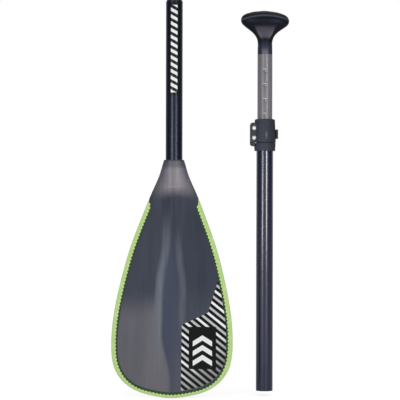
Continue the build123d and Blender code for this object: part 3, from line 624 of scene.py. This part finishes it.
# ---- Print on the blade ----
# A printed film on the lower right of the front face: black, with straight white and grey stripes that fade
# down to the right, and three plain chevrons on a black patch. The film is bonded flat to the laminate.
film, bond, print_left, print_cells = 0.00022, 0.00002, 0.017, 81
print_top = ((print_left, 0.124), (0.062, 0.145), (0.08, 0.204), (0.1, 0.204))
inside_lip = drawn_in(lip_width + 0.0001)
right_end = inside_lip[widest, 0] - 0.0003
x = print_left + (right_end - print_left) * np.sin(np.linspace(0, math.pi / 2, print_cells))
foot = np.interp(x, inside_lip[:widest + 1, 0], inside_lip[:widest + 1, 1])
drawn_top = np.interp(x, [across for across, up in print_top], np.array([up for across, up in print_top]) + tip_z)
head = np.minimum(drawn_top, np.interp(-x, -inside_lip[widest:, 0], inside_lip[widest:, 1]))
tall = np.maximum(head, foot + 0.0002) - foot
z = foot[:, None] + tall[:, None] * np.linspace(0, 1, print_cells)[None, :]
x = np.broadcast_to(x[:, None], z.shape)
depth = face_depth(x, z, True)
grids = [on_shaft(np.stack([x, rake(z) - depth - lift, z], -1)) for lift in (film, bond)]
print_black, gloss, wire, place = finish("printed_film")
x = wire.node("ShaderNodeSeparateXYZ", {}, {0: place})
z = x.also("Z") - tip_z
stripe_pitch, patch_x, patch_z, patch_half, patch_tall = 0.0092, 0.05, 0.085, 0.0235, 0.036
chevron_pitch, chevron_half, chevrons_tall, chevron_slope = 0.0165, 0.0165, 0.0245, 0.62
run = 0.62 * x + 0.78 * z
stripe = (run / stripe_pitch).wave().above(0.6, 0.06)
bright = (run / (2 * stripe_pitch)).wave().above(0.5, 0.02)
fade = ((z - 0.9 * x) / 0.08 + 0.35).above(0.5, 0.5)
stripes = stripe * (0.3 + 0.7 * fade * (0.45 + 0.55 * bright))
from_x, from_z = abs(x - patch_x), z - patch_z
patch = 1 - wire.maths("MAXIMUM", from_x / patch_half, abs(from_z) / patch_tall).above(1.0, 0.02)
fold = from_z + chevron_slope * from_x
chevrons = ((fold + 0.0035) / chevron_pitch).wave().above(0.45, 0.06)
chevrons = chevrons * (1 - from_x.above(chevron_half, 0.0003)) * (1 - abs(fold).above(chevrons_tall, 0.0003))
ink = stripes * (1 - patch) + 0.96 * chevrons * patch
wear = noise(wire, place, (220, 220, 220), 3.0)
wire.feed(gloss["Base Color"], (ink * (0.9 + 0.15 * wear)).mix(rgb(6, 7, 11), rgb(240, 242, 242)))
wire.feed(gloss["Roughness"], 0.3 + 0.15 * wear)
gloss["Specular IOR Level"].default_value = 0.22
relief(wire, gloss, wear + ink * 0.5, 0.00004)
piece("blade_print", *shell(*grids), print_black, "blade_section", ["blade_decal"], "printed_film")


# ---- Lower shaft ----
# A tube wound from carbon and glass tape, bonded 52 mm into the blade's neck and square-cut at the coupling. A
# foam plug seals its lower end. A printed film with slanted white bars runs down its front.
grip_x, shaft_r = 0.1578, 0.0146


def eased(node, name, material, width, sharp=35):
    """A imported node's shape with its corners eased, as a moulded, turned or stamped piece has them."""
    mesh = nodes[node].data.copy()
    shape = bmesh.new()
    shape.from_mesh(mesh)
    bmesh.ops.remove_doubles(shape, verts=shape.verts, dist=2e-6)
    bmesh.ops.dissolve_limit(shape, angle_limit=math.radians(0.4), verts=shape.verts, edges=shape.edges)
    shape.to_mesh(mesh)
    shape.free()
    made = on_body(mesh, name, material, nodes[node]["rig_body"], [node], sharp)
    if width:
        ease = made.modifiers.new("ease", "BEVEL")
        ease.width, ease.segments, ease.limit_method, ease.angle_limit = width, 2, "ANGLE", math.radians(sharp)
    return made


def wound(name, axis_x, dark, light, base_rough, shine=0.5, tint=(1, 1, 1, 1), pitch=0.003, turns=24, lacquer=None):
    """A tape-wound laminate: tapes cross round the tube's axis, with a slow change in colour along it. The lacquer is
    a coat's weight and the height at which it ends; above that the tube is sanded for a bond."""
    material, gloss, wire, place = finish(name)
    x = wire.node("ShaderNodeSeparateXYZ", {}, {0: place})
    y, z = x.also("Y"), x.also("Z")
    round_axis = wire.maths("ARCTAN2", x - axis_x, -1.0 * y) / (2 * math.pi)
    one, other = (round_axis * turns + z / pitch).wave(), (round_axis * turns - z / pitch).wave()
    weave = wire.maths("MAXIMUM", one, other)
    cloud = noise(wire, place, (150, 150, 25), 3.0)
    wire.feed(gloss["Base Color"], (0.6 * (weave - 0.5) + 0.9 * (cloud - 0.3)).mix(dark, light))
    rough = base_rough + 0.14 * (weave - 0.7) + 0.1 * (cloud - 0.5)
    if lacquer:
        weight, end_z = lacquer
        sanded = z.above(end_z, 0.0005)
        rough = rough + 0.5 * sanded
        wire.feed(gloss["Coat Weight"], weight * (1 - sanded))
        gloss["Coat Roughness"].default_value = 0.14
    wire.feed(gloss["Roughness"], rough)
    relief(wire, gloss, weave, 0.00003)
    gloss["Specular IOR Level"].default_value = shine
    gloss["Specular Tint"].default_value = tint
    return material


shaft_wound = wound("shaft_laminate", 0.0, rgb(4, 10, 28), rgb(11, 18, 44), 0.34, 0.5, (0.76, 0.85, 1, 1))
eased("lower_shaft", "lower_shaft_tube", shaft_wound, 0.0004)
nodes["float_plug"].data.materials.clear()
nodes["float_plug"].data.materials.append(foam)

bar_pitch, bar_slope, bar_half, bars_foot_z, bars_head_z = 0.0118, 0.55, 0.0058, 0.0625, 0.214
film_turn, film_foot_z, film_head_z, film_out, film_in = 27.4, 0.0571, 0.2189, 0.00018, 0.00001
turn = np.radians(np.linspace(-film_turn, film_turn, 25))[None, :]
z = np.linspace(film_foot_z, film_head_z, 60)[:, None]
grids = [np.stack(np.broadcast_arrays(r * np.sin(turn), -r * np.cos(turn), z), -1)
         for r in (shaft_r + film_out, shaft_r + film_in)]
bars_white, gloss, wire, place = finish("white_print")
x = wire.node("ShaderNodeSeparateXYZ", {}, {0: place})
z = x.also("Z")
bar = ((z + bar_slope * x) / bar_pitch).wave().above(0.5, 0.05)
inside = 1 - abs(x).above(bar_half, 0.0002)
ends = z.above(bars_foot_z, 0.0002) * (1 - z.above(bars_head_z, 0.0002))
ink = bar * inside * ends
wear = noise(wire, place, (260, 260, 260), 3.0)
wire.feed(gloss["Base Color"], (ink * (0.92 + 0.1 * wear)).mix(rgb(8, 10, 18), rgb(242, 243, 243)))
wire.feed(gloss["Roughness"], 0.28 + 0.12 * wear)
gloss["Specular IOR Level"].default_value = 0.3
relief(wire, gloss, wear + ink * 0.5, 0.00003)
piece("shaft_print", *shell(*grids), bars_white, "blade_section", ["shaft_decal"], "white_print")


# ---- Coupling ----
# A glass-fibre ferrule bonded in the lower shaft's top, closed by a turned plug. A steel button on a bent leaf
# spring stands out of its back and snaps into the grip section's hole.
ferrule_glass = wound("ferrule_laminate", 0.0, rgb(28, 31, 38), rgb(52, 55, 64), 0.4, pitch=0.0026, turns=20)
eased("ferrule", "ferrule_tube", ferrule_glass, 0.0003)


def moulded(name, dark, light, rough, fine=800.0, depth=0.00006):
    """A moulded plastic: fine spark-eroded grain, small marks of handling."""
    material, gloss, wire, place = finish(name)
    grain = noise(wire, place, (fine, fine, fine), 3.0, 0.6)
    handled = noise(wire, place, (70, 70, 70), 4.0, 0.7)
    wire.feed(gloss["Base Color"], (0.5 * grain + 0.5 * handled).mix(dark, light))
    wire.feed(gloss["Roughness"], rough + 0.2 * (handled - 0.5))
    relief(wire, gloss, grain, depth)
    return material


def steel(name, base, rough, brush):
    """Drawn or turned steel with fine lines across it."""
    material, gloss, wire, place = finish(name)
    lines = noise(wire, place, brush, 3.0, 0.6)
    wire.feed(gloss["Base Color"], lines.mix(tuple(c * 0.85 for c in base[:3]) + (1,), base))
    wire.feed(gloss["Roughness"], rough + 0.2 * (lines - 0.5))
    gloss["Metallic"].default_value = 1.0
    relief(wire, gloss, lines, 0.00001)
    return material


plug_plastic = moulded("moulded_plastic", rgb(34, 36, 42), rgb(50, 52, 60), 0.45)
eased("ferrule_plug", "ferrule_end_plug", plug_plastic, 0.0002)
spring_steel = steel("spring_steel", rgb(188, 190, 196), 0.3, (300, 3000, 300))
eased("button_spring", "leaf_spring", spring_steel, 0)
button_steel = steel("button_steel", rgb(206, 207, 210), 0.2, (2500, 300, 2500))
eased("snap_button", "steel_button", button_steel, 0.0001)


# ---- Upper shaft ----
# A tube wound as the lower one is, and lacquered up to where the collar is bonded on. Its bore is opened at the
# lower end for the ferrule, with a hole for the button.
lacquer_weight, sanded_z = 0.8, -0.033
upper_wound = wound("upper_shaft_laminate", grip_x, rgb(9, 12, 46), rgb(18, 22, 64), 0.34, 0.6, (0.9, 0.92, 1, 1),
                    lacquer=(lacquer_weight, sanded_z))
eased("upper_shaft", "upper_shaft_tube", upper_wound, 0.0003)


# ---- Clamp ----
# A glass-filled nylon collar bonded over the shaft's top, split between two ears. Two plated screws draw the ears
# together through a steel plate and a cross dowel, on which the cam lever turns and wraps round the back.
lip_z, slit_z, collar_highlight_x, collar_highlight_z, knurl_pitch, knurl_top_z = 0.0106, -0.0238, 0.0022, -0.0105, 0.0042, -0.0295
collar_deep, collar_pale, collar_shade, painted_highlight_grey = rgb(41, 45, 60), rgb(67, 71, 90), rgb(24, 26, 36), rgb(116, 119, 136)
collar_nylon, gloss, wire, place = finish("collar_plastic")
x = wire.node("ShaderNodeSeparateXYZ", {}, {0: place})
z = x.also("Z")
grain = noise(wire, place, (900, 900, 900), 3.0, 0.6)
knurl = ((x + z) / knurl_pitch).wave() * ((x - z) / knurl_pitch).wave() * (1 - z.above(knurl_top_z, 0.001))
# Painted shade: darker under the top lip, over the slit and down the collar's right side.
under_lip, over_slit = z.around(lip_z, 0.0014), z.around(slit_z, 0.0013)
right_side = (x - grip_x).above(0.004, 0.012)
# Painted highlight: a pale soft patch right of the middle, standing in for a lamp's reflection.
collar_highlight = (x - grip_x).around(collar_highlight_x, 0.0026) * z.around(collar_highlight_z, 0.0085)
handled = noise(wire, place, (70, 70, 70), 4.0, 0.7)
shade = 1 - wire.maths("MAXIMUM", wire.maths("MAXIMUM", 0.45 * under_lip, 0.8 * over_slit), 0.5 * right_side)
colour = (0.35 * grain + 0.35 * handled + 0.5 * knurl).mix(collar_deep, collar_pale)
wire.feed(gloss["Base Color"], shade.mix(collar_shade, collar_highlight.mix(colour, painted_highlight_grey)))
wire.feed(gloss["Roughness"], 0.6 + 0.1 * handled)
relief(wire, gloss, grain + knurl, 0.00012)
eased("clamp_collar", "split_collar", collar_nylon, 0.0006)
eased("guide_ring", "key_ring", plug_plastic, 0.0002)
lever_nylon = moulded("lever_plastic", rgb(46, 49, 62), rgb(70, 73, 88), 0.62, 900.0, 0.00012)
eased("clamp_lever", "cam_lever", lever_nylon, 0.0006)
# The screw heads and washers are coloured near-white and barely metallic: a painted reflection of their plating.
screw_painted_reflection, gloss, wire, place = finish("screw_steel")
lines = noise(wire, place, (900, 200, 900), 3.0)
wire.feed(gloss["Base Color"], lines.mix(rgb(244, 245, 246), rgb(255, 255, 255)))
wire.feed(gloss["Roughness"], 0.35 + 0.15 * lines)
gloss["Metallic"].default_value = 0.1
relief(wire, gloss, lines, 0.00001)
eased("clamp_screws", "binding_screws", screw_painted_reflection, 0.0001)
eased("screw_washers", "plated_washers", screw_painted_reflection, 0)
pin_steel = steel("pin_steel", rgb(190, 191, 194), 0.3, (300, 300, 3000))
eased("pivot_dowel", "cross_dowel", pin_steel, 0.0002)
eased("cam_plate", "wear_plate", pin_steel, 0.0002)


# ---- Extension tube ----
# A thinner tube of pale glass laminate that slides in the shaft. Filled marks one inch apart run up its front
# with a plain number beside each, and a plug closes its lower end.
tube_r, tube_top_z, first_mark_down, mark_pitch, marks, first_number = 0.013, 0.1294, 0.0261, 0.0254, 8, 10
number_size, number_right, number_down, number_film = 0.0042, 0.0012, 0.0034, 2e-5
tube_glass = wound("tube_laminate", grip_x, rgb(101, 99, 105), rgb(134, 131, 138), 0.4, 1.0, pitch=0.0023, turns=18)
eased("extension_tube", "inner_tube", tube_glass, 0.0003)
eased("tube_end_plug", "inner_tube_plug", plug_plastic, 0.0003)
mark_fill, gloss, wire, place = finish("mark_fill")
wear = noise(wire, place, (700, 700, 700), 3.0)
wire.feed(gloss["Base Color"], wear.mix(rgb(206, 196, 203), rgb(236, 228, 233)))
wire.feed(gloss["Roughness"], 0.45 + 0.1 * wear)
eased("scale_marks", "filled_marks", mark_fill, 0)

points, faces = [], []
for i in range(marks):
    text = bpy.data.curves.new("number", "FONT")
    text.body, text.size, text.align_x, text.align_y = str(first_number - i), number_size, "CENTER", "CENTER"
    holder = bpy.data.objects.new("number", text)
    bpy.context.scene.collection.objects.link(holder)
    flat = bpy.data.meshes.new_from_object(holder.evaluated_get(bpy.context.evaluated_depsgraph_get()))
    bpy.data.objects.remove(holder)
    first, mark_z, r = len(points), tube_top_z - first_mark_down - i * mark_pitch, tube_r + number_film
    for v in flat.vertices:
        a = (v.co.x + number_right) / tube_r
        points.append((grip_x + r * math.sin(a), -r * math.cos(a), mark_z - number_down + v.co.y))
    faces += [tuple(first + k for k in f.vertices) for f in flat.polygons]
numbers = bpy.data.meshes.new("scale_numbers")
numbers.from_pydata(points, [], faces)
on_body(numbers, "scale_numbers", mark_fill, "extension", [])


# ---- T-grip ----
# A moulded two-part handle: a body with a flared stem, a flatter panel down its front and a spigot glued in the
# tube, and a palm cap snapped over its hollow. The spigot's radii and its heights from the tube's top are in metres.
spigot_r, spigot_nose_r, spigot_nose_z, spigot_end_z, ring_size = 0.01145, 0.0108, -0.0393, -0.04, 96
# The handle's own sizes are in millimetres, with heights up from the tube's top. The body ends and the cap starts at
# the split. The front panel fades in and out over a height each, and widens on its way up. The crown leans a little.
split_up, top_up, seam, hollow_wall, edge_in, foot_in, foot_up = 63, 75.9, 0.03, 5, 0.1, 1.4, 0.05
panel_from, panel_fade_in, panel_to, panel_fade_out, panel_sink, panel_side = 24, 6, 51.5, 3, 0.7, 1.6
panel_ups, panel_halves = (26, 50), (5.5, 18.0)
crown_slope, crown_from, crown_fade = 0.024, 34, 16
# Each row is the height, the half width, the half depth and how square the oval is.
grip_rows = [(0.0, 12.9, 12.9, 2.0), (12.0, 12.7, 12.7, 2.0), (21.0, 12.7, 12.5, 2.0), (29.3, 14.9, 12.3, 2.1),
             (36.0, 19.6, 12.4, 2.2), (42.5, 27.2, 13.0, 2.2), (49.6, 36.8, 15.4, 2.2), (55.0, 41.2, 17.6, 2.2),
             (60.0, 41.9, 18.2, 2.2), (66.6, 38.8, 17.0, 2.1), (71.2, 30.4, 13.8, 2.0), (74.2, 19.0, 9.0, 2.0),
             (75.9, 5.6, 2.8, 2.0)]
widths, depths = (curve_through([(row[0], row[i]) for row in grip_rows], (1, 0), (0.2, -1), 2001)[0] for i in (1, 2))
ring_turn = np.arange(ring_size) * 2 * math.pi / ring_size


def grip_ring(up, shrink=0.0):
    """One level of the handle: a soft oval, with its front panel drawn in a little."""
    width = np.interp(up, widths[:, 0], widths[:, 1]) - shrink
    deep = np.interp(up, depths[:, 0], depths[:, 1]) - shrink
    soft = 2 / np.interp(up, [row[0] for row in grip_rows], [row[3] for row in grip_rows])
    x = width * np.sign(np.cos(ring_turn)) * np.abs(np.cos(ring_turn)) ** soft
    y = deep * np.sign(np.sin(ring_turn)) * np.abs(np.sin(ring_turn)) ** soft
    panel = np.clip((up - panel_from) / panel_fade_in, 0, 1) * np.clip((panel_to - up) / panel_fade_out, 0, 1)
    half = np.interp(up, panel_ups, panel_halves)
    sink = panel * np.clip((half - np.abs(x)) / panel_side, 0, 1) * (y < 0)
    y = y + sink * panel_sink
    tilt = x * crown_slope * np.clip((up - crown_from) / crown_fade, 0, 1)
    return np.stack([grip_x + x / 1000, y / 1000, tube_top_z + (up - tilt) / 1000], -1)


# The finish, with heights in metres up from the tube's top: a bluer stem with a painted highlight at its foot, the
# grey panel with painted highlights along its edges and painted shade at its top under the crown, and a painted
# highlight band along the crown.
stem_up, stem_highlight_up, panel_foot, panel_head, edges_head, crown_highlight_up = 0.019, 0.0085, 0.0285, 0.0485, 0.042, 0.0668
flare_slope, flare_up, panel_half, edges_half, shade_up, crown_highlight_bow = 0.52, 0.026, 0.0065, 0.0045, 0.043, 4.2
grip_deep, grip_pale, stem_blue, painted_highlight_grey = rgb(4, 8, 20), rgb(13, 18, 36), rgb(42, 46, 66), rgb(104, 102, 115)
panel_grey, edge_highlight_grey, panel_shade = rgb(78, 76, 88), rgb(116, 113, 121), rgb(60, 57, 68)
crown_highlight_blue = rgb(96, 104, 122)
grip_soft, gloss, wire, place = finish("grip_plastic")
x = wire.node("ShaderNodeSeparateXYZ", {}, {0: place})
up = x.also("Z") - tube_top_z
off = abs(x - grip_x)
turned_front = 1 - x.also("Y").above(0.0, 0.001)
flare = flare_slope * (up - flare_up)
panel = (1 - (off - panel_half - flare).above(0.0, 0.003)) * up.above(panel_foot, 0.004) * turned_front
panel = panel * (1 - up.above(panel_head, 0.004))
# Painted highlights along the panel's edges.
edges = (off - edges_half - flare).above(0.0, 0.002) * (1 - up.above(edges_head, 0.006))
stem = (1 - up.above(stem_up, 0.006)) * turned_front
# Painted highlight: a pale patch at the front of the stem's foot, in place of a lamp's reflection.
stem_highlight = (1 - up.above(stem_highlight_up, 0.006)) * (1 - off.above(0.0055, 0.003)) * turned_front
grain = noise(wire, place, (900, 900, 900), 3.0, 0.6)
smudge = noise(wire, place, (60, 60, 60), 4.0, 0.7)
# Painted highlight: a pale blue band along the crown, where an overhead lamp's reflection lies.
from_crown_highlight = abs(up - crown_highlight_up + crown_highlight_bow * off * off)
crown_highlight = (1 - from_crown_highlight.above(0.0005, 0.0028)) * turned_front
colour = (0.5 * grain + 0.5 * smudge).mix(grip_deep, grip_pale)
colour = stem_highlight.mix(stem.mix(colour, stem_blue), painted_highlight_grey)
# Painted shade over the panel's top, where the crown overhangs it.
panel_colour = up.above(shade_up, 0.01).mix(edges.mix(panel_grey, edge_highlight_grey), panel_shade)
colour = (0.9 * crown_highlight).mix(panel.mix(colour, panel_colour), crown_highlight_blue)
wire.feed(gloss["Base Color"], colour)
wire.feed(gloss["Roughness"], 0.4 + 0.15 * smudge)
relief(wire, gloss, grain, 0.00002)
gloss["Specular IOR Level"].default_value = 0.22
spigot = [np.stack([grip_x + r * np.cos(ring_turn), r * np.sin(ring_turn), np.full(ring_size, tube_top_z + z)], -1)
          for r, z in ((spigot_nose_r, spigot_end_z), (spigot_r, spigot_nose_z), (spigot_r, 0.0))]
body_ups, cap_ups = np.linspace(0, split_up, 64)[1:-1], np.linspace(split_up, top_up, 30)[2:]
body_rings = [grip_ring(0, foot_in), grip_ring(foot_up)] + [grip_ring(up) for up in body_ups]
body_rings += [grip_ring(split_up, edge_in), grip_ring(split_up, hollow_wall)]
piece("grip_handle", *skinned(np.array(spigot + body_rings)), grip_soft, "extension", ["grip_body"],
      "grip_plastic", 40)
cap_rings = [grip_ring(split_up + seam, hollow_wall), grip_ring(split_up + seam, edge_in)]
cap_rings += [grip_ring(up) for up in cap_ups]
piece("grip_cap", *skinned(np.array(cap_rings)), grip_soft, "extension", ["palm_cap"], "grip_plastic", 40)

low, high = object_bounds()
